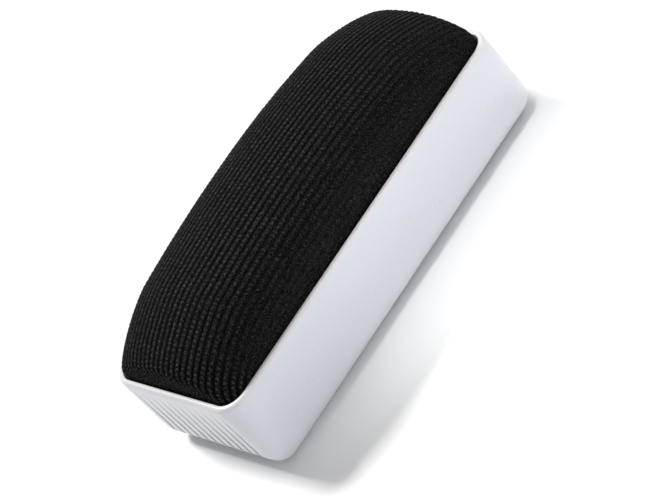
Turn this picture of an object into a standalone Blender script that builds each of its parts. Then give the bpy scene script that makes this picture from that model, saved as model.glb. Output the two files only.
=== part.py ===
"""Chalkboard eraser: a moulded plastic tray with a cloth-covered foam pad glued into it.

The eraser lies on its flat back with the pad facing up. +X runs along its length, +Y across it
and +Z from the back of the tray to the pad. The origin is the centre of the back. In metres.
"""

import math

import bmesh
import bpy

MM = 0.001
CLEARANCE = 0.3 * MM

# Tray
LENGTH = 140.0 * MM
WIDTH = 60.0 * MM
TRAY_DEPTH = 30.5 * MM
DRAFT = math.tan(math.radians(0.78))
RIM_WIDTH = 1.9 * MM
RIM_CORNER_RADIUS = 8.2 * MM
BACK_CORNER_RADIUS = 6.3 * MM
BACK_FILLET = 8.3 * MM
RIM_EDGE_RADIUS = 0.8 * MM
FLOOR_THICKNESS = 2.2 * MM
FLOOR_FILLET = 4.0 * MM
WALL_THICKNESS_AT_FLOOR = 2.7 * MM

# Finger grooves in both ends of the tray
GROOVE_COUNT = 11
GROOVE_PITCH = 4.1 * MM
GROOVE_TOP = 27.5 * MM
GROOVE_DEPTH_AT_BACK = 1.6 * MM
GROOVE_HALF_WIDTH_PER_DEPTH = 0.55

# Stiffening ribs moulded on the tray's floor
FLOOR_RIB_THICKNESS = 1.6 * MM
FLOOR_RIB_TOP = 11.0 * MM
LONG_RIB_SPACING = 20.0 * MM
LONG_RIB_LENGTH = 108.0 * MM
CROSS_RIB_COUNT = 5
CROSS_RIB_SPACING = 24.0 * MM
CROSS_RIB_LENGTH = 30.0 * MM

# Glue, board, cover and foam, from the floor up
GLUE_THICKNESS = 0.6 * MM
GLUE_LENGTH = 96.0 * MM
GLUE_WIDTH = 4.0 * MM
BOARD_BOTTOM = FLOOR_RIB_TOP + GLUE_THICKNESS + 2 * CLEARANCE
BOARD_THICKNESS = 3.0 * MM
BOARD_TOP = BOARD_BOTTOM + BOARD_THICKNESS
COVER_THICKNESS = 1.5 * MM
COVER_GAP_AT_RIM = 0.5 * MM
COVER_TAPER = 0.035
COVER_CORNER_RADIUS = 5.8 * MM
HEM_TOP = BOARD_BOTTOM - CLEARANCE
HEM_BOTTOM = HEM_TOP - COVER_THICKNESS
HEM_WIDTH = 11.0 * MM
HEM_EDGE_RADIUS = 1.2 * MM

# Crown of the pad above the tray's rim
PAD_PEAK = 22.4 * MM
END_ROUND_LENGTH = 23.0 * MM
END_ROUND_DROP = 7.8 * MM
END_ROUND_POWER = 1.4
SIDE_ROUND_DROP = 16.7 * MM
SIDE_ROUND_POWER = 2.3
CROWN_DROP_ALONG = 5.4 * MM
CROWN_DROP_ACROSS = 0.9 * MM

# Staples that hold the hem to the board
STAPLE_CROWN = 10.0 * MM
STAPLE_LEG = 4.4 * MM
STAPLE_WIDTH = 0.8 * MM
STAPLE_WIRE = 0.5 * MM
STAPLE_INSET = 6.5 * MM
SIDE_STAPLE_SPACING = 40.0 * MM
END_STAPLE_SPACING = 20.0 * MM

CORNER_STEPS = 6
SIDE_STEPS = 12
END_STEPS = 6
FILLET_STEPS = 7

TRAY_WHITE = (0.80, 0.82, 0.85, 1.0)
CLOTH_BLACK = (0.012, 0.012, 0.014, 1.0)
FOAM_GREY = (0.10, 0.10, 0.11, 1.0)
BOARD_BROWN = (0.30, 0.19, 0.11, 1.0)
STEEL = (0.62, 0.62, 0.64, 1.0)
GLUE_AMBER = (0.72, 0.60, 0.36, 1.0)


def clear_scene():
    for old in list(bpy.data.objects):
        bpy.data.objects.remove(old, do_unlink=True)


def material(name, colour, roughness, metallic=0.0):
    made = bpy.data.materials.new(name)
    made.use_nodes = True
    shader = made.node_tree.nodes["Principled BSDF"]
    shader.inputs["Base Color"].default_value = colour
    shader.inputs["Roughness"].default_value = roughness
    shader.inputs["Metallic"].default_value = metallic
    made.diffuse_color = colour
    return made


def add_object(name, mesh, look=None):
    made = bpy.data.objects.new(name, mesh)
    bpy.context.scene.collection.objects.link(made)
    if look and not mesh.materials:
        mesh.materials.append(look)
    return made


def finish_mesh(name, bm, smooth_angle=35.0):
    """The bmesh as a mesh with its faces pointing out and its gentle edges shaded smooth."""
    bmesh.ops.recalc_face_normals(bm, faces=bm.faces)
    mesh = bpy.data.meshes.new(name)
    bm.to_mesh(mesh)
    bm.free()
    mesh.shade_smooth()
    mesh.set_sharp_from_angle(angle=math.radians(smooth_angle))
    return mesh


def between(start, end, share):
    return start + (end - start) * share


def rounded_rectangle(half_x, half_y, radius):
    """Points anticlockwise round a rectangle: the corners as arcs, the sides in equal steps."""
    radius = max(radius, 0.2 * MM)
    points = []
    for corner, (sign_x, sign_y) in enumerate(((1, 1), (-1, 1), (-1, -1), (1, -1))):
        centre = (sign_x * (half_x - radius), sign_y * (half_y - radius))
        for step in range(CORNER_STEPS + 1):
            angle = math.radians(90 * (corner + step / CORNER_STEPS))
            x = centre[0] + radius * math.cos(angle)
            y = centre[1] + radius * math.sin(angle)
            points.append((x, y))
        along_x = corner in (0, 2)
        count = SIDE_STEPS if along_x else END_STEPS
        start = points[-1]
        for step in range(1, count):
            if along_x:
                end_x = -start[0]
                points.append((between(start[0], end_x, step / count), start[1]))
            else:
                end_y = -start[1]
                points.append((start[0], between(start[1], end_y, step / count)))
    return points


def ring_at(half_x, half_y, radius, z):
    return [(x, y, z) for x, y in rounded_rectangle(half_x, half_y, radius)]


def add_rings(bm, rings):
    """Adds the rings' points and the bands of faces between one ring and the next."""
    made = [[bm.verts.new(point) for point in ring] for ring in rings]
    count = len(rings[0])
    for lower, upper in zip(made, made[1:]):
        for i in range(count):
            after = (i + 1) % count
            bm.faces.new((lower[i], lower[after], upper[after], upper[i]))
    return made


def close_across(bm, ring):
    """Closes a long thin ring with strips that run from one long side to the other."""
    count = len(ring)
    half = count // 2
    first = 2 * CORNER_STEPS + SIDE_STEPS + END_STEPS // 2  # the middle of the ring's end
    left = [ring[(first + i) % count] for i in range(half + 1)]
    right = [ring[(first - i) % count] for i in range(half + 1)]
    for i in range(half):
        corners = [left[i], left[i + 1], right[i + 1], right[i]]
        unique = list(dict.fromkeys(corners))
        bm.faces.new(unique)


# Tray


def tray_half_sizes(z):
    """Half length, half width and corner radius of the tray's outside at this height."""
    inset = (TRAY_DEPTH - z) * DRAFT
    radius = between(BACK_CORNER_RADIUS, RIM_CORNER_RADIUS, z / TRAY_DEPTH)
    return LENGTH / 2 - inset, WIDTH / 2 - inset, radius


def tray_ring(z, inset):
    half_x, half_y, radius = tray_half_sizes(z)
    return ring_at(half_x - inset, half_y - inset, radius - inset, z)


def wall_thickness(z):
    return between(WALL_THICKNESS_AT_FLOOR, RIM_WIDTH, z / TRAY_DEPTH)


def tray_rings():
    """The tray's skin from the back, up the outside, over the rim and down to the floor inside."""
    rings = []
    for step in range(FILLET_STEPS + 1):
        angle = math.radians(90 * step / FILLET_STEPS)
        inset = BACK_FILLET * (1 - math.sin(angle))
        rings.append(tray_ring(BACK_FILLET * (1 - math.cos(angle)), inset))
    for step in range(4):
        angle = math.radians(90 * step / 3)
        z = TRAY_DEPTH - RIM_EDGE_RADIUS * (1 - math.sin(angle))
        rings.append(tray_ring(z, RIM_EDGE_RADIUS * (1 - math.cos(angle))))
    inner_edge = 0.3 * MM
    rings.append(tray_ring(TRAY_DEPTH, RIM_WIDTH - inner_edge))
    rings.append(tray_ring(TRAY_DEPTH - inner_edge, RIM_WIDTH))
    steps = 4
    fillet_centre = FLOOR_THICKNESS + FLOOR_FILLET
    for step in range(steps + 1):
        angle = math.radians(90 * step / steps)
        z = fillet_centre - FLOOR_FILLET * math.sin(angle)
        inset = wall_thickness(z) + FLOOR_FILLET * (1 - math.cos(angle))
        rings.append(tray_ring(z, inset))
    return rings


def box_mesh(name, size, centre):
    bm = bmesh.new()
    bmesh.ops.create_cube(bm, size=1.0)
    bmesh.ops.scale(bm, vec=size, verts=bm.verts)
    bmesh.ops.translate(bm, vec=centre, verts=bm.verts)
    return finish_mesh(name, bm)


def helper(name, mesh):
    """A cutter or a shape to be joined: it stays out of the finished object."""
    made = add_object(name, mesh)
    made.hide_render = True
    made.display_type = "WIRE"
    return made


def add_boolean(target, other, operation):
    modifier = target.modifiers.new(f"{operation.lower()} {other.name}", "BOOLEAN")
    modifier.operation = operation
    modifier.solver = "EXACT"
    modifier.object = other


def add_floor_ribs(tray):
    sunk = FLOOR_THICKNESS / 2
    height = FLOOR_RIB_TOP - sunk
    middle = sunk + height / 2
    for side in (-1, 1):
        size = (LONG_RIB_LENGTH, FLOOR_RIB_THICKNESS, height)
        centre = (0, side * LONG_RIB_SPACING / 2, middle)
        add_boolean(tray, helper("long_rib", box_mesh("long_rib", size, centre)), "UNION")
    lowered = 0.8 * MM
    for index in range(CROSS_RIB_COUNT):
        size = (FLOOR_RIB_THICKNESS, CROSS_RIB_LENGTH, height - lowered)
        x = (index - (CROSS_RIB_COUNT - 1) / 2) * CROSS_RIB_SPACING
        centre = (x, 0, middle - lowered / 2)
        add_boolean(tray, helper("cross_rib", box_mesh("cross_rib", size, centre)), "UNION")


def groove_depth(z):
    return GROOVE_DEPTH_AT_BACK * (1 - z / GROOVE_TOP)


def groove_section(end, y, z):
    """Triangle that cuts one groove at this height, as far outside the end wall as it must be."""
    outside = 1.5 * MM
    face = tray_half_sizes(z)[0]
    half_width = (groove_depth(z) + outside) * GROOVE_HALF_WIDTH_PER_DEPTH
    apex = (end * (face - groove_depth(z)), y, z)
    return [
        apex,
        (end * (face + outside), y - half_width, z),
        (end * (face + outside), y + half_width, z),
    ]


def groove_cutter(end):
    """All the grooves of one end: each deepens from nothing near the rim to run out at the back."""
    bm = bmesh.new()
    bottom = -1.0 * MM
    top = GROOVE_TOP + 5.0 * MM
    for index in range(GROOVE_COUNT):
        y = (index - (GROOVE_COUNT - 1) / 2) * GROOVE_PITCH
        lower, upper = add_rings(bm, [groove_section(end, y, z) for z in (bottom, top)])
        bm.faces.new(lower)
        bm.faces.new(upper)
    return helper("groove_cutter", finish_mesh("groove_cutter", bm))


def make_tray(look):
    bm = bmesh.new()
    rings = add_rings(bm, tray_rings())
    bm.faces.new(rings[0])
    bm.faces.new(rings[-1])
    tray = add_object("holder_shell", finish_mesh("holder_shell", bm), look)
    add_floor_ribs(tray)
    for end in (-1, 1):
        add_boolean(tray, groove_cutter(end), "DIFFERENCE")
    return tray


# Pad


def cover_half_sizes(z):
    """Half length, half width and corner radius of the cover's outside at this height."""
    inset = RIM_WIDTH + COVER_GAP_AT_RIM + max(TRAY_DEPTH - z, 0) * COVER_TAPER
    return LENGTH / 2 - inset, WIDTH / 2 - inset, COVER_CORNER_RADIUS


def rounding_drop(share, drop, power):
    """How far a superellipse has dropped, this share of the way to its end."""
    return drop * (1 - (1 - min(share, 1) ** power) ** (1 / power))


def crown_z(x, y):
    """Height of the cover's outside above this point of the plan."""
    half_x, half_y, _ = cover_half_sizes(TRAY_DEPTH)
    end_share = max(abs(x) - (half_x - END_ROUND_LENGTH), 0) / END_ROUND_LENGTH
    height = PAD_PEAK
    height -= rounding_drop(end_share, END_ROUND_DROP, END_ROUND_POWER)
    height -= rounding_drop(abs(y) / half_y, SIDE_ROUND_DROP, SIDE_ROUND_POWER)
    height -= CROWN_DROP_ALONG * (x / half_x) ** 2
    height -= CROWN_DROP_ACROSS * (y / half_y) ** 2
    return TRAY_DEPTH + height


def crown_rings(depth, insets):
    """Rings over the pad's crown, all this far under the cover's outside, from the spine outwards."""
    half_x, half_y, radius = cover_half_sizes(TRAY_DEPTH)
    rings = []
    for inset in insets:
        total = inset + depth
        outline = rounded_rectangle(half_x - total, half_y - total, radius - total)
        stretch_x = half_x / (half_x - depth)
        stretch_y = half_y / (half_y - depth)
        rings.append([(x, y, crown_z(x * stretch_x, y * stretch_y) - depth) for x, y in outline])
    return rings


def inset_steps(depth, count):
    """Insets from the spine to the edge of the crown, closer together towards the edge."""
    half_y = cover_half_sizes(TRAY_DEPTH)[1]
    widest = half_y - depth - 1.0 * MM
    return [widest * (1 - step / count) ** 1.9 for step in range(count + 1)]


def wall_ring(z, depth):
    half_x, half_y, radius = cover_half_sizes(z)
    return ring_at(half_x - depth, half_y - depth, radius - depth, z)


def hem_rings():
    """Down the cover's outside, under the board to the hem's edge, and back up its inside."""
    rings = [wall_ring(z, 0) for z in (TRAY_DEPTH, HEM_BOTTOM + HEM_EDGE_RADIUS)]
    for step in (1, 2, 3):
        angle = math.radians(30 * step)
        z = HEM_BOTTOM + HEM_EDGE_RADIUS * (1 - math.sin(angle))
        rings.append(wall_ring(z, HEM_EDGE_RADIUS * (1 - math.cos(angle))))
    rings.append(wall_ring(HEM_BOTTOM, HEM_WIDTH))
    rings.append(wall_ring(HEM_TOP, HEM_WIDTH))
    rings.append(wall_ring(HEM_TOP, COVER_THICKNESS))
    rings.append(wall_ring(TRAY_DEPTH, COVER_THICKNESS))
    return rings


def make_cover(look):
    outer = crown_rings(0, inset_steps(0, 9))
    inner = crown_rings(COVER_THICKNESS, inset_steps(COVER_THICKNESS, 7))
    bm = bmesh.new()
    rings = add_rings(bm, outer + hem_rings() + inner[::-1])
    close_across(bm, rings[0])
    close_across(bm, rings[-1])
    return add_object("ribbed_cover", finish_mesh("ribbed_cover", bm), look)


def make_foam(look):
    depth = COVER_THICKNESS + CLEARANCE
    bm = bmesh.new()
    crown = crown_rings(depth, inset_steps(depth, 7))
    walls = [wall_ring(z, depth) for z in (TRAY_DEPTH, BOARD_TOP + CLEARANCE)]
    rings = add_rings(bm, crown + walls)
    close_across(bm, rings[0])
    bm.faces.new(rings[-1])
    return add_object("foam_block", finish_mesh("foam_block", bm), look)


def make_board(look):
    depth = COVER_THICKNESS + CLEARANCE
    half_x, half_y, radius = cover_half_sizes(BOARD_BOTTOM)
    outline = (half_x - depth, half_y - depth, radius - depth)
    bm = bmesh.new()
    rings = add_rings(bm, [ring_at(*outline, z) for z in (BOARD_BOTTOM, BOARD_TOP)])
    bm.faces.new(rings[0])
    bm.faces.new(rings[-1])
    return add_object("backing_board", finish_mesh("backing_board", bm), look)


def make_glue_lines(look):
    """One line of set glue on top of each long floor rib, under the board."""
    size = (GLUE_LENGTH, GLUE_WIDTH, GLUE_THICKNESS)
    z = FLOOR_RIB_TOP + CLEARANCE + GLUE_THICKNESS / 2
    mesh = box_mesh("glue_line", size, (0, 0, 0))
    for name, side in (("glue_line_front", -1), ("glue_line_rear", 1)):
        line = add_object(name, mesh, look)
        line.location = (0, side * LONG_RIB_SPACING / 2, z)
        bevel = line.modifiers.new("rounded edges", "BEVEL")
        bevel.width = 0.2 * MM
        bevel.segments = 2


# Staples


def staple_places():
    """Centre and turn of each staple round the hem, its crown along the nearest edge."""
    half_x, half_y, _ = cover_half_sizes(HEM_BOTTOM)
    places = []
    for side in (-1, 1):
        for index in (-1, 0, 1):
            places.append((index * SIDE_STAPLE_SPACING, side * (half_y - STAPLE_INSET), 0.0))
    for end in (-1, 1):
        for index in (-0.5, 0.5):
            x = end * (half_x - STAPLE_INSET)
            places.append((x, index * END_STAPLE_SPACING, math.pi / 2))
    return places


def staple_mesh():
    """A flat-crowned staple with its legs up, its crown's underside at z = 0."""
    outer = STAPLE_CROWN / 2
    inner = outer - STAPLE_WIRE
    outline = [
        (-outer, 0),
        (outer, 0),
        (outer, STAPLE_LEG),
        (inner, STAPLE_LEG),
        (inner, STAPLE_WIRE),
        (-inner, STAPLE_WIRE),
        (-inner, STAPLE_LEG),
        (-outer, STAPLE_LEG),
    ]
    bm = bmesh.new()
    front, back = add_rings(
        bm, [[(x, y, z) for x, z in outline] for y in (-STAPLE_WIDTH / 2, STAPLE_WIDTH / 2)]
    )
    bm.faces.new(front)
    bm.faces.new(back)
    return finish_mesh("staple", bm)


def leg_clearance_cutter(places):
    """Square holes through the hem and into the board, one round each staple leg."""
    leg_x = (STAPLE_CROWN - STAPLE_WIRE) / 2
    size_along = STAPLE_WIRE + 2 * CLEARANCE
    size_across = STAPLE_WIDTH + 2 * CLEARANCE
    bottom = HEM_BOTTOM - 0.5 * MM
    top = HEM_BOTTOM - CLEARANCE - STAPLE_WIRE + STAPLE_LEG + CLEARANCE
    bm = bmesh.new()
    for x, y, turn in places:
        for side in (-1, 1):
            centre_x = x + side * leg_x * math.cos(turn)
            centre_y = y + side * leg_x * math.sin(turn)
            turned = turn > 0
            half_x = (size_across if turned else size_along) / 2
            half_y = (size_along if turned else size_across) / 2
            corners = ((-1, -1), (1, -1), (1, 1), (-1, 1))
            hole = [(centre_x + a * half_x, centre_y + b * half_y) for a, b in corners]
            lower, upper = add_rings(bm, [[(*point, z) for point in hole] for z in (bottom, top)])
            bm.faces.new(lower)
            bm.faces.new(upper)
    return helper("leg_clearance", finish_mesh("leg_clearance", bm))


def make_staples(look, places):
    mesh = staple_mesh()
    z = HEM_BOTTOM - CLEARANCE - STAPLE_WIRE
    for number, (x, y, turn) in enumerate(places, 1):
        staple = add_object(f"staple_{number:02d}", mesh, look)
        staple.location = (x, y, z)
        staple.rotation_euler = (0, 0, turn)


def main():
    clear_scene()
    make_tray(material("white plastic", TRAY_WHITE, 0.28))
    board = make_board(material("hardboard", BOARD_BROWN, 0.75))
    cover = make_cover(material("ribbed cloth", CLOTH_BLACK, 0.95))
    make_foam(material("foam", FOAM_GREY, 0.95))
    make_glue_lines(material("set glue", GLUE_AMBER, 0.4))
    places = staple_places()
    make_staples(material("staple steel", STEEL, 0.3, 1.0), places)
    holes = leg_clearance_cutter(places)
    add_boolean(cover, holes, "DIFFERENCE")
    add_boolean(board, holes, "DIFFERENCE")


main()
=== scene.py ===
"""Looks of the chalkboard eraser: glossy white moulded tray, crowned pad in black ribbed cloth.

The sizes repeat the design's own, in metres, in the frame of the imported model: +X along the
eraser, +Y across it, +Z from the tray's back to the pad, the origin at the centre of the back.
"""

import math

import bmesh
import bpy
import numpy as np
from mathutils import Matrix, Vector


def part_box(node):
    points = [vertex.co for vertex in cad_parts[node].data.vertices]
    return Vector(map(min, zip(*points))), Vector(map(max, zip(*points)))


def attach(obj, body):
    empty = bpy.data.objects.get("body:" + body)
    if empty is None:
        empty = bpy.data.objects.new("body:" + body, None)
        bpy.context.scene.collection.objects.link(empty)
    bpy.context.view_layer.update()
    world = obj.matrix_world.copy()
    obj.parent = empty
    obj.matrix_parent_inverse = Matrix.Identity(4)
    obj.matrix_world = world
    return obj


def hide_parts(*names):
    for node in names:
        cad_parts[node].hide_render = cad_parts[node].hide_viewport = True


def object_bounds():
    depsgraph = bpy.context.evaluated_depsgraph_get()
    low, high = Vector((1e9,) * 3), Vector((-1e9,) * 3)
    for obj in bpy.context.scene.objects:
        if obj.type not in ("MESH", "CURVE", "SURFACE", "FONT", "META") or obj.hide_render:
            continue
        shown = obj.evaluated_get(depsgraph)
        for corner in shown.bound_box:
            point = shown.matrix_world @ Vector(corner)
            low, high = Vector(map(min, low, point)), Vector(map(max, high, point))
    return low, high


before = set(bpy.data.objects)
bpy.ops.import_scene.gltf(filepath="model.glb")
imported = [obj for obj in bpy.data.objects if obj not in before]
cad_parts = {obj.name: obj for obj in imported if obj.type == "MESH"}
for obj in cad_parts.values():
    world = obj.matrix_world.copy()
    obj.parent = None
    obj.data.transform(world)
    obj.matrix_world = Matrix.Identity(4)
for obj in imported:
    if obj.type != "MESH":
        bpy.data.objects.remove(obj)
cad_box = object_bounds()

MM = 0.001
BODY = "root"

# Tray
RIM_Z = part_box("holder_shell")[1][2]
LENGTH = 140.0 * MM
WIDTH = 60.0 * MM
DRAFT = math.tan(math.radians(0.78))
RIM_WIDTH = 1.9 * MM
RIM_CORNER_RADIUS = 8.2 * MM
BACK_CORNER_RADIUS = 6.3 * MM
BACK_FILLET = 8.3 * MM
RIM_EDGE_RADIUS = 1.2 * MM
RIM_INNER_RADIUS = 0.35 * MM
FLOOR_THICKNESS = 2.2 * MM
FLOOR_FILLET = 4.0 * MM
WALL_THICKNESS_AT_FLOOR = 2.7 * MM
GROOVE_COUNT = 11
GROOVE_PITCH = 4.1 * MM
GROOVE_TOP = 27.5 * MM
GROOVE_DEPTH_AT_BACK = 1.6 * MM
GROOVE_HALF_WIDTH_PER_DEPTH = 0.55
GROOVE_SOFTNESS = 0.10 * MM
GROOVE_BLEND_REACH = 0.4 * MM
GROOVE_WALL_X = 67.8 * MM
POINTS_PER_GROOVE = 13
FLOOR_RIB_THICKNESS = 1.6 * MM
FLOOR_RIB_TOP = 11.0 * MM
LONG_RIB_SPACING = 20.0 * MM
LONG_RIB_LENGTH = 108.0 * MM
CROSS_RIB_COUNT = 5
CROSS_RIB_SPACING = 24.0 * MM
CROSS_RIB_LENGTH = 30.0 * MM
CROSS_RIB_STEP_DOWN = 0.8 * MM
SMALLEST_CORNER = 0.15 * MM

# Rings of the tray's skin along each part of its section
CORNER_STEPS = 14
SIDE_STEPS = 70
BACK_FILLET_STEPS = 18
OUTER_WALL_RINGS = 22
RIM_EDGE_STEPS = 6
RIM_INNER_STEPS = 4
INNER_WALL_RINGS = 6
FLOOR_FILLET_STEPS = 6

# Cloth cover
COVER_GAP_AT_RIM = 0.5 * MM
COVER_TAPER = 0.035
COVER_HALF_X = LENGTH / 2 - RIM_WIDTH - COVER_GAP_AT_RIM
COVER_HALF_Y = WIDTH / 2 - RIM_WIDTH - COVER_GAP_AT_RIM
COVER_CORNER_RADIUS = 5.8 * MM
HEM_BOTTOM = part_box("ribbed_cover")[0][2]
HEM_THICKNESS = 1.5 * MM
HEM_WIDTH = 11.0 * MM
HEM_EDGE_RADIUS = 1.2 * MM
HEM_EDGE_STEPS = 4
HEM_LIP = 0.3 * MM
HEM_LIP_DROP = 0.5 * MM
COVER_WALL_LEVELS = (24.0 * MM, 18.0 * MM)
COVER_SMALLEST_CORNER = 0.4 * MM
RIBS_END_Z = RIM_Z - 2.5 * MM

PAD_PEAK = 22.4 * MM
END_ROUND_LENGTH = 23.0 * MM
END_ROUND_DROP = 7.8 * MM
END_ROUND_POWER = 1.4
SIDE_ROUND_DROP = 16.7 * MM
SIDE_ROUND_POWER = 2.3
CROWN_DROP_ALONG = 5.4 * MM
CROWN_DROP_ACROSS = 0.9 * MM
LEAN_START = 15.0 * MM
LEAN = 0.12

# The smooth pad's grid, which the ribs are laid over
FAN_STATIONS = 70
STRAIGHT_STATIONS = 60
CROWN_POINTS = 260
WALL_POINTS = 120
HALF_WIDTH_POINTS = 200
LONGEST_REACH = 90.0 * MM
REACH_ROUNDS = 40
SOFTENING_ROUNDS = 6
PAD_CENTRE = (0, 0, RIM_Z - 20 * MM)

# The cloth's ribs run along the pad and, near its ends, fan down about this line across it
FAN_X = 42.0 * MM
FAN_Z = 8.0 * MM
RIB_PITCH = 2.3 * MM
RIB_HEIGHT = 0.55 * MM
BEAD_LENGTH = 1.5 * MM
BEAD_HEIGHT = 0.16 * MM
RIB_ROUNDNESS = 2.2
RIB_FULLNESS = 0.7
RIB_FADE_ROWS = 4
BEAD_SLANT = 0.45
BEAD_UNEVENNESS = 0.3
BEAD_KNOTS = 50

# Along the -Y side the cloth is stretched and its ribs are shallow. That band is wider towards
# the far end, and it stops before the near one. Sides run from -1 to 1 across the cloth.
STRETCHED_SIDE = -0.9
STRETCH_BLEND = 0.8
STRETCHED_DEPTH = 0.28
STRETCH_WIDENING = 0.3
STRETCH_END = 52.0 * MM
STRETCH_END_BLEND = 14.0 * MM
DEPTH_UNEVENNESS = 0.15
DEPTH_KNOTS = (24, 30)
RANDOM_SEED = 11

POINTS_PER_RIB = 6
ROW_STEP = 8
ROWS_ALONG = 47 * ROW_STEP + 1
KNIT = "knit"

# Foam
FOAM_GAP = 0.3 * MM
FOAM_FOOT_EDGE = 1.0 * MM
FOAM_WALL_HEIGHT = 8.0 * MM

# Camera
CAMERA_AIM = (0.1 * MM, 5.6 * MM, 7.6 * MM)
CAMERA_HEADING = math.radians(21.61)
CAMERA_PITCH = math.radians(34.38)
CAMERA_ROLL = math.radians(43.17)
CAMERA_DISTANCE = 839.4 * MM
CAMERA_LENS = 151.6

# Colours
PLASTIC_COLOUR = (0.635, 0.66, 0.71)
PLASTIC_DEEP = (0.62, 0.645, 0.70)
# Painted shade: the colour that darkens the bottoms of the end walls' grooves
GROOVE_PAINTED_SHADE_COLOUR = (0.10, 0.10, 0.12)
# Painted light: the lighter colour of the rim's top and outer rounded edge, standing in for top
# light and a highlight
RIM_PAINTED_LIGHT_COLOUR = (0.75, 0.74, 0.755)
LINT_COLOUR = (0.45, 0.43, 0.42)
# The black yarn's colour, with painted shade in the valleys between the ribs and painted light on
# their beaded tops
CLOTH_VALLEY_PAINTED_SHADE = (0.0015, 0.0014, 0.0015)
CLOTH_RIB_TOP_PAINTED_LIGHT = (0.092, 0.087, 0.092)
FLOOR_COLOUR = (0.93, 0.93, 0.93)

# Light: each lamp's name, place, aim, size, power and spread in degrees
WORLD_DIM = 0.09
WORLD_BRIGHT = 0.64
LAMPS = (
    ("key", (-0.03, 0.88, 1.17), (0, 0, 0.02), (0.26, 0.26), 19.0, 180),
    ("strip", (0.055, -0.095, 0.16), (0.055, -0.095, 0), (0.17, 0.13), 0.05, 32),
    ("softbox", (-0.14, -0.42, 0.17), (-0.05, -0.03, 0.02), (0.40, 0.08), 0.5, 180),
)

# Floor
FLOOR_REACH = 4.0
FLOOR_DROP = 0.1 * MM


# Meshes


def new_object(name, mesh):
    made = bpy.data.objects.new(name, mesh)
    bpy.context.scene.collection.objects.link(made)
    return made


def mesh_from(name, points, faces, smooth_angle=None):
    mesh = bpy.data.meshes.new(name)
    mesh.from_pydata([tuple(point) for point in points], [], faces)
    mesh.shade_smooth()
    if smooth_angle:
        mesh.set_sharp_from_angle(angle=math.radians(smooth_angle))
    return mesh


def dress(piece, look, replaced):
    """Gives a piece its look, hides the design's node that it replaces and hangs the piece from
    its body.
    """
    piece.data.materials.clear()
    piece.data.materials.append(look)
    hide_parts(replaced)
    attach(piece, BODY)


# Tray


def tray_half_sizes(z):
    """Half length, half width and corner radius of the tray's outside at this height."""
    share = z / RIM_Z
    inset = (RIM_Z - z) * DRAFT
    radius = BACK_CORNER_RADIUS + (RIM_CORNER_RADIUS - BACK_CORNER_RADIUS) * share
    return LENGTH / 2 - inset, WIDTH / 2 - inset, radius


def end_places():
    """Where an end wall's points stand across the width: close together over each groove."""
    reach = GROOVE_DEPTH_AT_BACK * GROOVE_HALF_WIDTH_PER_DEPTH + GROOVE_SOFTNESS
    offsets = np.linspace(-reach, reach, POINTS_PER_GROOVE)
    middles = (np.arange(GROOVE_COUNT) - (GROOVE_COUNT - 1) / 2) * GROOVE_PITCH
    return (middles[:, None] + offsets[None, :]).ravel()


def rounded_outline(half_x, half_y, radius):
    """Points anticlockwise round a rectangle with arcs at its corners."""
    radius = max(radius, SMALLEST_CORNER)
    across = end_places() * min(1.0, (half_y - radius) / (WIDTH / 2 - RIM_CORNER_RADIUS))
    points = []
    for corner, (sign_x, sign_y) in enumerate(((1, 1), (-1, 1), (-1, -1), (1, -1))):
        for step in range(CORNER_STEPS + 1):
            angle = math.radians(90 * (corner + step / CORNER_STEPS))
            x = sign_x * (half_x - radius) + radius * math.cos(angle)
            y = sign_y * (half_y - radius) + radius * math.sin(angle)
            points.append((x, y))
        if corner in (0, 2):
            for step in range(1, SIDE_STEPS):
                share = step / SIDE_STEPS
                points.append(((half_x - radius) * sign_x * (1 - 2 * share), sign_y * half_y))
        else:
            points += [(sign_x * half_x, sign_y * y) for y in across[::-1]]
    return np.array(points)


def soft_max(a, b, softness):
    """The larger of a and b, rounded off where they are nearly equal."""
    return (a + b + np.sqrt((a - b) ** 2 + softness**2)) / 2


def groove_inset(y, z):
    """How far the grooves' surface lies inside the end wall's flat face, negative between them."""
    middle = (GROOVE_COUNT - 1) / 2
    nearest = np.clip(np.round(y / GROOVE_PITCH), -middle, middle) * GROOVE_PITCH
    depth = GROOVE_DEPTH_AT_BACK * (1 - z / GROOVE_TOP)
    away = np.sqrt((y - nearest) ** 2 + (0.6 * GROOVE_SOFTNESS) ** 2)
    return depth - away / GROOVE_HALF_WIDTH_PER_DEPTH


def tray_ring(z, inset, grooved=False):
    """The tray's outline at this height, this far inside it, with or without its grooves."""
    half_x, half_y, radius = tray_half_sizes(z)
    ring = rounded_outline(half_x - inset, half_y - inset, radius - inset)
    if grooved:
        flat = np.abs(ring[:, 1]) < (GROOVE_COUNT / 2) * GROOVE_PITCH
        outside = half_x - np.abs(ring[:, 0])
        groove = groove_inset(ring[:, 1], z)
        cut = soft_max(outside, groove, GROOVE_SOFTNESS)
        cut = np.where(groove > outside - GROOVE_BLEND_REACH, cut, outside)
        on_end = flat & (np.abs(ring[:, 0]) > half_x * 0.8)
        ring[on_end, 0] = (np.sign(ring[:, 0]) * (half_x - cut))[on_end]
    return np.column_stack([ring, np.full(len(ring), z)])


def wall_thickness(z):
    return WALL_THICKNESS_AT_FLOOR + (RIM_WIDTH - WALL_THICKNESS_AT_FLOOR) * z / RIM_Z


def quarter_turn(steps):
    return [math.radians(90 * step / steps) for step in range(steps + 1)]


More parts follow.
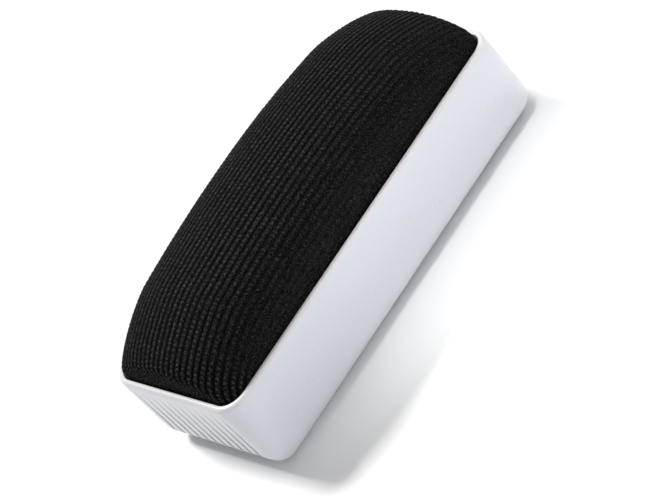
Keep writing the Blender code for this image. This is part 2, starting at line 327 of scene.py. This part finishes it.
def tray_rings():
    """The tray's skin from the back, up the outside, over the rim and down to the floor inside."""
    rings = []
    for angle in quarter_turn(BACK_FILLET_STEPS):
        inset = BACK_FILLET * (1 - math.sin(angle))
        rings.append(tray_ring(BACK_FILLET * (1 - math.cos(angle)), inset, grooved=True))
    wall_top = RIM_Z - RIM_EDGE_RADIUS
    for z in np.linspace(BACK_FILLET, wall_top, OUTER_WALL_RINGS)[1:-1]:
        rings.append(tray_ring(z, 0, grooved=True))
    for angle in quarter_turn(RIM_EDGE_STEPS):
        z = RIM_Z - RIM_EDGE_RADIUS * (1 - math.sin(angle))
        rings.append(tray_ring(z, RIM_EDGE_RADIUS * (1 - math.cos(angle))))
    for angle in quarter_turn(RIM_INNER_STEPS):
        z = RIM_Z - RIM_INNER_RADIUS * (1 - math.cos(angle))
        rings.append(tray_ring(z, RIM_WIDTH - RIM_INNER_RADIUS * (1 - math.sin(angle))))
    fillet_centre = FLOOR_THICKNESS + FLOOR_FILLET
    for z in np.linspace(RIM_Z - 2 * MM, fillet_centre + 1 * MM, INNER_WALL_RINGS):
        rings.append(tray_ring(z, wall_thickness(z)))
    for angle in quarter_turn(FLOOR_FILLET_STEPS):
        z = fillet_centre - FLOOR_FILLET * math.sin(angle)
        rings.append(tray_ring(z, wall_thickness(z) + FLOOR_FILLET * (1 - math.cos(angle))))
    return rings


def ring_faces(ring_count, size):
    faces = []
    for ring in range(ring_count - 1):
        low, high = ring * size, (ring + 1) * size
        for i in range(size):
            after = (i + 1) % size
            faces.append((low + i, low + after, high + after, high + i))
    return faces


def rib_grid():
    """The stiffening ribs as one solid, sunk into the tray's floor."""
    half_long = LONG_RIB_LENGTH / 2
    half_cross = CROSS_RIB_LENGTH / 2
    half_wall = FLOOR_RIB_THICKNESS / 2
    bottom = FLOOR_THICKNESS / 2
    bm = bmesh.new()

    def add_box(low, high):
        made = bmesh.ops.create_cube(bm, size=1.0)["verts"]
        for vert in made:
            for axis in range(3):
                vert.co[axis] = high[axis] if vert.co[axis] > 0 else low[axis]

    for side in (-1, 1):
        y = side * LONG_RIB_SPACING / 2
        add_box((-half_long, y - half_wall, bottom), (half_long, y + half_wall, FLOOR_RIB_TOP))
    for index in range(CROSS_RIB_COUNT):
        x = (index - (CROSS_RIB_COUNT - 1) / 2) * CROSS_RIB_SPACING
        top = FLOOR_RIB_TOP - CROSS_RIB_STEP_DOWN
        add_box((x - half_wall, -half_cross, bottom), (x + half_wall, half_cross, top))
    mesh = bpy.data.meshes.new("floor_ribs")
    bm.to_mesh(mesh)
    bm.free()
    return mesh


def join_by_boolean(target, mesh):
    """Unites the mesh's boxes with the target, and leaves one mesh."""
    helper = new_object("helper", mesh)
    modifier = target.modifiers.new("floor ribs", "BOOLEAN")
    modifier.operation = "UNION"
    modifier.solver = "EXACT"
    modifier.use_self = True
    modifier.object = helper
    bpy.context.view_layer.update()
    graph = bpy.context.evaluated_depsgraph_get()
    joined = bpy.data.meshes.new_from_object(target.evaluated_get(graph))
    target.modifiers.clear()
    target.data = joined
    bpy.data.objects.remove(helper, do_unlink=True)


def make_tray(look):
    """The white tray: one closed skin with its grooves, and the ribs joined to its floor."""
    rings = tray_rings()
    size = len(rings[0])
    faces = ring_faces(len(rings), size)
    faces.append(tuple(range(size))[::-1])
    faces.append(tuple(range((len(rings) - 1) * size, len(rings) * size)))
    mesh = mesh_from("tray", np.concatenate(rings), faces)
    tray = new_object("tray", mesh)
    join_by_boolean(tray, rib_grid())
    tray.data.set_sharp_from_angle(angle=math.radians(50))
    dress(tray, look, "holder_shell")


# Cloth cover


def rounding_drop(share, drop, power):
    share = np.clip(share, 0, 1)
    return drop * (1 - (1 - share**power) ** (1 / power))


def crown_z(x, y):
    """Height of the pad's smooth outside above this point of the plan, in the row frame."""
    end_share = (np.abs(x) - (COVER_HALF_X - END_ROUND_LENGTH)) / END_ROUND_LENGTH
    height = PAD_PEAK - rounding_drop(end_share, END_ROUND_DROP, END_ROUND_POWER)
    height = height - rounding_drop(np.abs(y) / COVER_HALF_Y, SIDE_ROUND_DROP, SIDE_ROUND_POWER)
    height = height - CROWN_DROP_ALONG * (x / COVER_HALF_X) ** 2
    height = height - CROWN_DROP_ACROSS * (y / COVER_HALF_Y) ** 2
    return RIM_Z + height


def end_wall_x(y):
    """How far out the end wall stands at y, following the rounded corner of the plan."""
    past = np.maximum(np.abs(y) - (COVER_HALF_Y - COVER_CORNER_RADIUS), 0)
    past = np.minimum(past, COVER_CORNER_RADIUS)
    return COVER_HALF_X - COVER_CORNER_RADIUS + np.sqrt(COVER_CORNER_RADIUS**2 - past**2)


def reach_of_ray(y, angle):
    """Distance from the fan's line to the pad's outside, at y, this far down from vertical."""
    low = np.zeros_like(y)
    high = np.full_like(y, LONGEST_REACH)
    sine, cosine = math.sin(angle), math.cos(angle)
    for _ in range(REACH_ROUNDS):
        middle = (low + high) / 2
        x = FAN_X + middle * sine
        z = FAN_Z + middle * cosine
        inside = (x < end_wall_x(y)) & (z < crown_z(np.minimum(x, COVER_HALF_X), y))
        low = np.where(inside, middle, low)
        high = np.where(inside, high, middle)
    return low


def section(x_or_angle, is_fan):
    """One section across the pad, from its middle to the tray: distances along it, y and reach."""
    turn = np.linspace(0, math.pi / 2, CROWN_POINTS)
    y = COVER_HALF_Y * np.sin(turn)
    if is_fan:
        reach = reach_of_ray(y, x_or_angle)
    else:
        reach = crown_z(np.full_like(y, x_or_angle), y) - FAN_Z
    down = np.linspace(1, 0, WALL_POINTS)[1:]
    y = np.concatenate([y, np.full(len(down), COVER_HALF_Y)])
    reach = np.concatenate([reach, reach[-1] * down])
    steps = np.hypot(np.diff(y), np.diff(reach))
    return np.concatenate([[0], np.cumsum(steps)]), y, reach


def stations():
    """Sections from one end of the pad to the other: (side, angle or x, is it fanned)."""
    lowest = math.atan2(COVER_HALF_X - FAN_X, RIBS_END_Z - FAN_Z)
    fan = np.linspace(0, lowest, FAN_STATIONS)[1:]
    straight = np.linspace(-FAN_X, FAN_X, STRAIGHT_STATIONS)
    found = [(-1, angle, True) for angle in fan[::-1]]
    found += [(0, x, False) for x in straight]
    found += [(1, angle, True) for angle in fan]
    return found


def smooth_surface():
    """Points of the smooth pad at (station, distance across), on a regular grid."""
    distance, _, reach = section(0.0, False)
    wall = slice(CROWN_POINTS, None)
    widest = float(np.interp(-(RIBS_END_Z - FAN_Z), -reach[wall], distance[wall]))
    across = np.linspace(0, widest, HALF_WIDTH_POINTS)
    grid = []
    for side, value, is_fan in stations():
        distance, y, reach = section(value, is_fan)
        y_at = np.interp(across, distance, y)
        reach_at = np.interp(across, distance, reach)
        if is_fan:
            x_at = side * (FAN_X + reach_at * math.sin(value))
            z_at = FAN_Z + reach_at * math.cos(value)
        else:
            x_at = np.full_like(across, value)
            z_at = FAN_Z + reach_at
        half = np.stack([x_at, y_at, z_at], axis=1)
        mirrored = half[1:][::-1] * (1, -1, 1)
        grid.append(np.concatenate([mirrored, half]))
    return np.concatenate([-across[1:][::-1], across]), np.array(grid)


def eased(share):
    """The share with a gentle start and end."""
    return share**2 * (3 - 2 * share)


def soften(grid, rounds):
    """Evens out the grid's creases both ways, leaving its edges."""
    for _ in range(rounds):
        middle = (grid[:-2] + 2 * grid[1:-1] + grid[2:]) / 4
        grid[1:-1] = middle
        middle = (grid[:, :-2] + 2 * grid[:, 1:-1] + grid[:, 2:]) / 4
        grid[:, 1:-1] = middle
    return grid


def leaned(grid):
    """The pad with its far end leaning a little to one side above the rim, as photographed."""
    share = np.clip((grid[:, :, 0] - LEAN_START) / (COVER_HALF_X - LEAN_START), 0, 1)
    grid[:, :, 1] -= LEAN * eased(share) * np.maximum(grid[:, :, 2] - RIM_Z, 0)
    return grid


def rib_places(widest):
    """Distances across the cloth of the mesh's points, and each one's place within its rib."""
    count = int(2 * widest / RIB_PITCH)
    edges = (np.arange(count + 1) - count / 2) * RIB_PITCH
    share = (1 - np.cos(np.linspace(0, math.pi, POINTS_PER_RIB + 1))) / 2
    share = 0.5 * share + 0.5 * np.linspace(0, 1, POINTS_PER_RIB + 1)
    places, within, rib = [], [], []
    for index in range(count):
        for part in share[:-1]:
            places.append(edges[index] + part * (edges[index + 1] - edges[index]))
            within.append(part * 2 - 1)
            rib.append(index)
    places.append(edges[-1])
    within.append(1.0)
    rib.append(count - 1)
    return np.array(places), np.array(within), np.array(rib)


def trimmed(column):
    """The part of a line of points that has ribs, ending exactly where they end."""
    shown = column[:, 2] >= RIBS_END_Z - 0.01 * MM
    first, last = np.argmax(shown), len(shown) - 1 - np.argmax(shown[::-1])
    line = column[first : last + 1]
    for end, outside in ((0, first - 1), (-1, last + 1)):
        if 0 <= outside < len(column):
            a, b = line[end], column[outside]
            fall = (a[2] - RIBS_END_Z) / max(a[2] - b[2], 1e-9)
            line[end] = a + (b - a) * fall
    return line


def evenly_spaced(line):
    """The line with evenly spaced points, and each one's distance along from the middle."""
    lengths = np.concatenate([[0], np.cumsum(np.linalg.norm(np.diff(line, axis=0), axis=1))])
    middle = np.interp(0, line[:, 0], lengths)
    even = np.linspace(0, lengths[-1], ROWS_ALONG)
    points = np.stack([np.interp(even, lengths, line[:, k]) for k in range(3)], axis=1)
    return points, even - middle


def ribbed_grid():
    """The cloth's smooth outside: for each place across it, points along its rib."""
    across, base = smooth_surface()
    base = leaned(soften(base, SOFTENING_ROUNDS))
    places, within, rib = rib_places(across[-1])
    lines = []
    for place in places:
        before = np.searchsorted(across, place, side="right") - 1
        before = min(max(before, 0), len(across) - 2)
        share = (place - across[before]) / (across[before + 1] - across[before])
        column = base[:, before] * (1 - share) + base[:, before + 1] * share
        lines.append(evenly_spaced(trimmed(column)))
    grid = np.array([points for points, _ in lines])
    along = np.array([distances for _, distances in lines])
    return grid, along, within, rib


def grid_normals(grid):
    """Directions straight out of the pad at each point."""
    across = np.gradient(grid, axis=0)
    along = np.gradient(grid, axis=1)
    normals = np.cross(along, across)
    normals /= np.maximum(np.linalg.norm(normals, axis=2, keepdims=True), 1e-12)
    flip = np.sign((normals * (grid - np.array(PAD_CENTRE))).sum(axis=2, keepdims=True))
    return normals * np.where(flip == 0, 1, flip)


def slow_noise(rng, shape, knots):
    """Smooth random values from -1 to 1 over a grid, with this many knots each way."""
    values = rng.uniform(-1, 1, knots)
    rows = np.linspace(0, knots[0] - 1, shape[0])
    columns = np.linspace(0, knots[1] - 1, shape[1])
    first = np.array([np.interp(columns, np.arange(knots[1]), row) for row in values])
    return np.array([np.interp(rows, np.arange(knots[0]), column) for column in first.T]).T


def knit_places(along, within, rib):
    """Where each point lies in the knit: ribs across, beads along, and how deep the ribs are."""
    rng = np.random.default_rng(RANDOM_SEED)
    rib_count = rib.max() + 1
    beads = along / BEAD_LENGTH + rng.uniform(0, 1, rib_count)[rib][:, None]
    uneven = slow_noise(rng, (rib_count, along.shape[1]), (rib_count, BEAD_KNOTS))
    beads += BEAD_UNEVENNESS * uneven[rib]
    ribs = np.repeat((rib + (within + 1) / 2)[:, None], along.shape[1], axis=1)
    side = (ribs / rib_count - 0.5) * 2
    edge = STRETCHED_SIDE + STRETCH_WIDENING * np.clip(along / (LENGTH / 2), 0, 1)
    share = np.clip((side - edge) / STRETCH_BLEND, 0, 1)
    share = np.maximum(share, np.clip((-along - STRETCH_END) / STRETCH_END_BLEND, 0, 1))
    depth = STRETCHED_DEPTH + (1 - STRETCHED_DEPTH) * eased(share)
    depth *= 1 + DEPTH_UNEVENNESS * slow_noise(rng, along.shape, DEPTH_KNOTS)
    return np.stack([ribs, beads, depth], axis=2)


def cloth_relief(knit):
    """How far each point lies off the smooth pad, which the tops of the beaded ribs reach."""
    within = np.abs(np.mod(knit[:, :, 0], 1) * 2 - 1)
    ridge = (1 - within**RIB_ROUNDNESS) ** RIB_FULLNESS
    bead = np.cos(2 * math.pi * (knit[:, :, 1] + BEAD_SLANT * within))
    height = knit[:, :, 2] * (ridge * (RIB_HEIGHT + BEAD_HEIGHT * bead) - RIB_HEIGHT)
    row = np.arange(knit.shape[1])
    fade = np.clip(np.minimum(row, row[::-1]) / RIB_FADE_ROWS, 0, 1)
    return height * fade[None, :]


def edge_loop(number):
    """The numbers round the edge of a grid, in order."""
    return np.concatenate([number[:-1, 0], number[-1, :-1], number[:0:-1, -1], number[0, :0:-1]])


def pulled_in(point, inset, z):
    """The point's match on a ring this far inside the cover's outline, at height z."""
    x, y = point[0], point[1]
    corner_x = COVER_HALF_X - COVER_CORNER_RADIUS
    corner_y = COVER_HALF_Y - COVER_CORNER_RADIUS
    radius = max(COVER_CORNER_RADIUS - inset, COVER_SMALLEST_CORNER)
    half_x, half_y = COVER_HALF_X - inset, COVER_HALF_Y - inset
    past_x = max(abs(x) - corner_x, 0)
    past_y = max(abs(y) - corner_y, 0)
    far = math.hypot(past_x, past_y)
    new_x = min(abs(x), corner_x) * (half_x - radius) / corner_x + radius * past_x / far
    new_y = min(abs(y), corner_y) * (half_y - radius) / corner_y + radius * past_y / far
    return (math.copysign(new_x, x), math.copysign(new_y, y), z)


def wall_inset(z):
    return (RIM_Z - z) * COVER_TAPER


def hem_path():
    """(inset, z) of the cover's rings below its ribs: down the wall, under the board and back."""
    path = [(wall_inset(z), z) for z in COVER_WALL_LEVELS]
    edge_z = HEM_BOTTOM + HEM_EDGE_RADIUS
    for angle in quarter_turn(HEM_EDGE_STEPS):
        inset = wall_inset(edge_z) + HEM_EDGE_RADIUS * (1 - math.cos(angle))
        path.append((inset, edge_z - HEM_EDGE_RADIUS * math.sin(angle)))
    hem_top = HEM_BOTTOM + HEM_THICKNESS
    path += [(HEM_WIDTH, HEM_BOTTOM), (HEM_WIDTH + HEM_LIP, hem_top - HEM_LIP_DROP)]
    path += [(HEM_WIDTH, hem_top), (wall_inset(hem_top) + HEM_THICKNESS, hem_top)]
    path += [(wall_inset(z) + HEM_THICKNESS, z) for z in COVER_WALL_LEVELS[::-1]]
    return path


def band(lower, upper):
    """Quads between two rings of equally many numbers."""
    after_low, after_up = np.roll(lower, -1), np.roll(upper, -1)
    return np.stack([lower, after_low, after_up, upper], axis=1).tolist()


def grid_quads(number):
    corners = [number[:-1, :-1], number[1:, :-1], number[1:, 1:], number[:-1, 1:]]
    return np.stack(corners, axis=2).reshape(-1, 4).tolist()


def coarse_band(fine, step_counts, coarse):
    """Faces between a fine ring and a coarse one that holds every so many of its points."""
    faces = []
    start = 0
    for i, steps in enumerate(step_counts):
        run = [fine[(start + k) % len(fine)] for k in range(steps + 1)]
        faces.append([*run, coarse[(i + 1) % len(coarse)], coarse[i]])
        start += steps
    return faces


def coarse_of(grid):
    """Every so many of a grid's points, for the parts that have no ribs."""
    return grid[::POINTS_PER_RIB, ::ROW_STEP]


def make_cover(look, grid, normals, knit):
    """The cloth: ribbed outside, folded under the board as a hem, and a smooth inside."""
    outer = grid + normals * cloth_relief(knit)[:, :, None]
    inner = coarse_of(grid) - coarse_of(normals) * HEM_THICKNESS
    outer_number = np.arange(outer.shape[0] * outer.shape[1]).reshape(outer.shape[:2])
    inner_number = outer_number.size + np.arange(inner[:, :, 0].size).reshape(inner.shape[:2])
    points = [outer.reshape(-1, 3), inner.reshape(-1, 3)]
    faces = grid_quads(outer_number) + [face[::-1] for face in grid_quads(inner_number)]
    fine = edge_loop(outer_number)
    columns, rows = inner.shape[0] - 1, inner.shape[1] - 1
    steps = ([POINTS_PER_RIB] * columns + [ROW_STEP] * rows) * 2
    outline = coarse_of(grid).reshape(-1, 3)[edge_loop(inner_number) - outer_number.size]
    start = outer_number.size + inner_number.size
    previous = None
    for inset, z in hem_path():
        ring = start + np.arange(len(outline))
        points.append(np.array([pulled_in(point, inset, z) for point in outline]))
        if previous is None:
            faces += coarse_band(fine, steps, ring)
        else:
            faces += band(previous, ring)
        previous = ring
        start += len(outline)
    faces += band(previous, edge_loop(inner_number))
    mesh = mesh_from("cloth_cover", np.concatenate(points), faces)
    places = np.full((len(mesh.vertices), 3), (0.5, 0.0, 1.0))
    places[: outer_number.size] = knit.reshape(-1, 3)
    mesh.attributes.new(KNIT, "FLOAT_VECTOR", "POINT").data.foreach_set("vector", places.ravel())
    cover = new_object("cloth_cover", mesh)
    dress(cover, look, "ribbed_cover")


def make_foam(look, grid, normals):
    """The foam under the cloth: the pad's own form, drawn in, with its foot on the board."""
    depth = HEM_THICKNESS + FOAM_GAP
    foot_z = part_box("foam_block")[0][2]
    top = coarse_of(grid) - coarse_of(normals) * depth
    number = np.arange(top[:, :, 0].size).reshape(top.shape[:2])
    points = [top.reshape(-1, 3)]
    faces = grid_quads(number)
    outline = coarse_of(grid).reshape(-1, 3)[edge_loop(number)]
    previous, start = edge_loop(number), number.size
    edge = FOAM_FOOT_EDGE
    for z, rounding in ((foot_z + FOAM_WALL_HEIGHT, 0), (foot_z + edge, 0), (foot_z, edge)):
        inset = wall_inset(z) + depth + rounding
        points.append(np.array([pulled_in(point, inset, z) for point in outline]))
        ring = start + np.arange(len(outline))
        faces += band(previous, ring)
        previous, start = ring, start + len(outline)
    faces.append(previous.tolist())
    mesh = mesh_from("foam_filling", np.concatenate(points), faces, smooth_angle=60)
    foam = new_object("foam_filling", mesh)
    dress(foam, look, "foam_block")


def make_pad(cloth, foam):
    grid, along, within, rib = ribbed_grid()
    normals = grid_normals(grid)
    make_cover(cloth, grid, normals, knit_places(along, within, rib))
    make_foam(foam, grid, normals)


# Materials


class Look:
    """A material under construction: its node tree, with short ways to add to it."""

    def __init__(self, name, colour, roughness):
        self.material = bpy.data.materials.new(name)
        self.material.use_nodes = True
        self.tree = self.material.node_tree
        self.shader = self.tree.nodes["Principled BSDF"]
        self.set("Base Color", (*colour, 1))
        self.set("Roughness", roughness)
        self.place = self.add("ShaderNodeTexCoord").outputs["Object"]

    def set(self, socket, value):
        self.shader.inputs[socket].default_value = value

    def add(self, kind, links=(), **values):
        node = self.tree.nodes.new(kind)
        for name, value in values.items():
            setattr(node, name, value)
        for socket, source in dict(links).items():
            target = node.inputs[socket]
            if isinstance(source, bpy.types.NodeSocket):
                self.tree.links.new(source, target)
            else:
                target.default_value = source
        return node

    def noise(self, feature, detail=2.0, rough=0.5, stretch=(1, 1, 1)):
        """Noise with features of this size in metres, drawn out by stretch along each axis."""
        scale = tuple(1 / (feature * part) for part in stretch)
        mapping = self.add("ShaderNodeMapping", {"Vector": self.place, "Scale": scale})
        links = {"Vector": mapping.outputs[0], "Scale": 1.0, "Detail": detail, "Roughness": rough}
        return self.add("ShaderNodeTexNoise", links).outputs["Fac"]

    def ramp(self, value, low, high, start=0.0, end=1.0):
        """The value spread from low to high, as a number."""
        links = {"Value": value, "From Min": start, "From Max": end, "To Min": low, "To Max": high}
        return self.add("ShaderNodeMapRange", links).outputs["Result"]

    def calculate(self, operation, *values):
        links = dict(enumerate(values))
        return self.add("ShaderNodeMath", links, operation=operation).outputs[0]

    def blend(self, factor, first, second):
        node = self.add("ShaderNodeMix", data_type="RGBA")
        for socket, source in ((0, factor), (6, first), (7, second)):
            if isinstance(source, bpy.types.NodeSocket):
                self.tree.links.new(source, node.inputs[socket])
            else:
                node.inputs[socket].default_value = (*source, 1)
        return node.outputs[2]

    def drive(self, socket, source):
        self.tree.links.new(source, self.shader.inputs[socket])

    def bump(self, *layers):
        """Bumps one over another, each (height, depth in metres)."""
        normal = None
        for height, depth in layers:
            links = {"Height": height, "Distance": depth, "Strength": 1.0}
            if normal:
                links["Normal"] = normal
            normal = self.add("ShaderNodeBump", links).outputs["Normal"]
        self.drive("Normal", normal)


def groove_shade(look):
    """Mask of the painted shade in the end walls' grooves: from 0 on their lands to 1 along the
    bottom of each groove.
    """
    parts = look.add("ShaderNodeSeparateXYZ", {"Vector": look.place}).outputs
    turns = look.calculate("MULTIPLY_ADD", parts["Y"], 1 / GROOVE_PITCH, 0.5)
    offset = look.calculate("SUBTRACT", look.calculate("FRACT", turns), 0.5)
    away = look.calculate("MULTIPLY", look.calculate("ABSOLUTE", offset), GROOVE_PITCH)
    widest = GROOVE_DEPTH_AT_BACK * GROOVE_HALF_WIDTH_PER_DEPTH
    width = look.ramp(parts["Z"], widest, 0.05 * MM, 0.0, GROOVE_TOP)
    shade = look.ramp(look.calculate("DIVIDE", away, width), 1.0, 0.0, 0.5, 1.25)
    reach = (GROOVE_COUNT / 2) * GROOVE_PITCH
    for value, limit, sign in ((parts["Y"], reach, -1), (parts["X"], GROOVE_WALL_X, 1)):
        inside = look.calculate("SUBTRACT", look.calculate("ABSOLUTE", value), limit)
        inside = look.calculate("GREATER_THAN", look.calculate("MULTIPLY", inside, sign), 0.0)
        shade = look.calculate("MULTIPLY", shade, inside)
    return look.calculate("MULTIPLY", shade, look.calculate("LESS_THAN", parts["Z"], GROOVE_TOP))


def plastic_look():
    """Glossy plastic, faintly uneven, with painted light on its rim, painted shade in the end
    walls' grooves and a few lint specks.
    """
    look = Look("gloss white plastic", PLASTIC_COLOUR, 0.3)
    look.set("Coat Weight", 0.5)
    look.set("Coat Roughness", 0.08)
    lint = look.ramp(look.noise(0.5 * MM, detail=0.0), 0, 1, 0.83, 0.86)
    cloudy = look.blend(look.noise(50 * MM, detail=1.0), PLASTIC_DEEP, PLASTIC_COLOUR)
    height = look.add("ShaderNodeSeparateXYZ", {"Vector": look.place}).outputs["Z"]
    # Painted light and painted highlight: the rim's top and outer rounded edge are coloured
    # lighter
    rim = look.ramp(height, 0, 1, RIM_Z - RIM_EDGE_RADIUS, RIM_Z - 0.3 * RIM_EDGE_RADIUS)
    body = look.blend(rim, cloudy, RIM_PAINTED_LIGHT_COLOUR)
    # Painted shade: the end walls' grooves are coloured darker towards their bottoms
    body_with_painted_groove_shade = look.blend(groove_shade(look), body, GROOVE_PAINTED_SHADE_COLOUR)
    look.drive("Base Color", look.blend(lint, body_with_painted_groove_shade, LINT_COLOUR))
    look.drive("Roughness", look.ramp(look.noise(4 * MM), 0.28, 0.32))
    look.bump((look.noise(1.2 * MM), 0.004 * MM))
    return look.material


def cloth_look():
    """Black ribbed knit: painted shade between the ribs, and painted light on the looped yarn
    along their tops.
    """
    look = Look("black ribbed cloth", (0.012, 0.012, 0.013), 0.75)
    look.set("IOR", 1.12)
    look.set("Sheen Weight", 0.006)
    look.set("Sheen Roughness", 0.5)
    knit = look.add("ShaderNodeAttribute", attribute_name=KNIT)
    parts = look.add("ShaderNodeSeparateXYZ", {"Vector": knit.outputs["Vector"]}).outputs
    fraction = look.calculate("FRACT", parts["X"])
    within = look.calculate("ABSOLUTE", look.calculate("MULTIPLY_ADD", fraction, 2.0, -1.0))
    ridge = look.calculate("SUBTRACT", 1.0, look.calculate("POWER", within, 1.4))
    ridge = look.calculate("MULTIPLY", ridge, ridge)
    turn = look.calculate("MULTIPLY_ADD", within, BEAD_SLANT, parts["Y"])
    wave = look.calculate("COSINE", look.calculate("MULTIPLY", turn, 2 * math.pi))
    bead = look.ramp(wave, 0.0, 1.0, -1.0, 1.0)
    fibre = look.noise(0.42 * MM, detail=2.0, rough=0.6)
    strand = look.calculate("MULTIPLY", ridge, look.ramp(bead, 0.3, 1.0))
    shallow = look.ramp(parts["Z"], 0.16, 0.0, 0.3, 1.0)
    ribbed = look.ramp(parts["Z"], 0.15, 1.0, 0.3, 1.0)
    strand = look.calculate("MULTIPLY_ADD", strand, ribbed, shallow)
    tuft = look.ramp(fibre, 0.03, 1.0, 0.42, 0.64)
    # Painted shade and painted light: the colour runs from near-black between the ribs to lighter
    # on the bead tops, broken up by fibre noise
    shown = look.calculate("MULTIPLY", strand, tuft)
    look.drive("Base Color", look.blend(shown, CLOTH_VALLEY_PAINTED_SHADE, CLOTH_RIB_TOP_PAINTED_LIGHT))
    look.drive("Roughness", look.ramp(fibre, 0.9, 0.6, 0.3, 0.7))
    look.bump((strand, 0.25 * MM), (fibre, 0.3 * MM))
    return look.material


def foam_look():
    look = Look("grey foam", (0.10, 0.10, 0.11), 0.95)
    cells = look.noise(0.8 * MM, detail=3.0, rough=0.7)
    look.drive("Base Color", look.blend(cells, (0.05, 0.05, 0.055), (0.16, 0.16, 0.17)))
    look.bump((cells, 0.5 * MM))
    return look.material


def board_look():
    look = Look("brown hardboard", (0.25, 0.15, 0.08), 0.7)
    fibres = look.noise(0.6 * MM, detail=5.0, rough=0.7, stretch=(4, 1, 1))
    look.drive("Base Color", look.blend(fibres, (0.15, 0.085, 0.045), (0.38, 0.25, 0.15)))
    look.drive("Roughness", look.ramp(fibres, 0.6, 0.85))
    look.bump((fibres, 0.08 * MM))
    return look.material


def glue_look():
    look = Look("set glue", (0.70, 0.58, 0.34), 0.3)
    cloudy = look.noise(3 * MM, detail=2.0)
    look.drive("Base Color", look.blend(cloudy, (0.62, 0.50, 0.27), (0.80, 0.70, 0.48)))
    look.bump((look.noise(1.5 * MM), 0.1 * MM))
    return look.material


def staple_look():
    look = Look("galvanised steel", (0.62, 0.62, 0.64), 0.35)
    look.set("Metallic", 1.0)
    drawn = look.noise(0.3 * MM, detail=3.0, stretch=(1, 1, 6))
    look.drive("Base Color", look.blend(drawn, (0.50, 0.50, 0.52), (0.72, 0.72, 0.74)))
    look.drive("Roughness", look.ramp(drawn, 0.25, 0.5))
    return look.material


def dress_hidden_nodes():
    """The board, the glue and the staples keep the design's own shapes, with finished looks."""
    looks = {"backing_board": board_look(), "glue_line": glue_look(), "staple": staple_look()}
    for name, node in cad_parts.items():
        for start, look in looks.items():
            if name.startswith(start):
                node.data.materials.clear()
                node.data.materials.append(look)


# Stage


def make_floor():
    reach = FLOOR_REACH
    corners = [(-reach, -reach, 0), (reach, -reach, 0), (reach, reach, 0), (-reach, reach, 0)]
    floor = new_object("floor", mesh_from("floor", corners, [(0, 1, 2, 3)]))
    look = Look("pale floor", FLOOR_COLOUR, 0.9)
    look.set("Specular IOR Level", 0.1)
    floor.data.materials.append(look.material)
    floor.location.z = cad_box[0][2] - FLOOR_DROP


def add_area_light(name, place, aim, size, power, spread):
    data = bpy.data.lights.new(name, "AREA")
    data.shape = "RECTANGLE"
    data.size, data.size_y = size
    data.energy = power
    data.spread = math.radians(spread)
    light = new_object(name, data)
    light.location = place
    light.rotation_euler = (Vector(aim) - Vector(place)).to_track_quat("-Z", "Y").to_euler()


def make_world():
    """A white studio, dimmer towards -X so that the grooved end is darker than the side."""
    world = bpy.data.worlds.new("studio")
    world.use_nodes = True
    tree = world.node_tree
    background = tree.nodes["Background"]
    background.inputs["Color"].default_value = (1, 1, 1, 1)
    place = tree.nodes.new("ShaderNodeTexCoord")
    parts = tree.nodes.new("ShaderNodeSeparateXYZ")
    ramp = tree.nodes.new("ShaderNodeMapRange")
    tree.links.new(place.outputs["Generated"], parts.inputs[0])
    tree.links.new(parts.outputs["X"], ramp.inputs["Value"])
    ramp.inputs["From Min"].default_value = -1
    ramp.inputs["From Max"].default_value = 0.6
    ramp.inputs["To Min"].default_value = WORLD_DIM
    ramp.inputs["To Max"].default_value = WORLD_BRIGHT
    tree.links.new(ramp.outputs["Result"], background.inputs["Strength"])
    bpy.context.scene.world = world


def make_lights():
    make_world()
    for lamp in LAMPS:
        add_area_light(*lamp)


def make_camera():
    data = bpy.data.cameras.new("camera")
    data.sensor_width = 36
    data.lens = CAMERA_LENS
    data.clip_start = 0.01
    camera = new_object("camera", data)
    level = math.cos(CAMERA_PITCH)
    ahead_x, ahead_y = math.sin(CAMERA_HEADING) * level, math.cos(CAMERA_HEADING) * level
    forward = Vector((ahead_x, ahead_y, -math.sin(CAMERA_PITCH)))
    turn = forward.to_track_quat("-Z", "Y").to_matrix() @ Matrix.Rotation(-CAMERA_ROLL, 3, "Z")
    camera.location = Vector(CAMERA_AIM) - forward * CAMERA_DISTANCE
    camera.rotation_euler = turn.to_euler()
    bpy.context.scene.camera = camera


def main():
    bpy.context.scene.view_settings.view_transform = "Standard"
    make_camera()
    make_floor()
    make_lights()
    make_tray(plastic_look())
    make_pad(cloth_look(), foam_look())
    dress_hidden_nodes()


main()
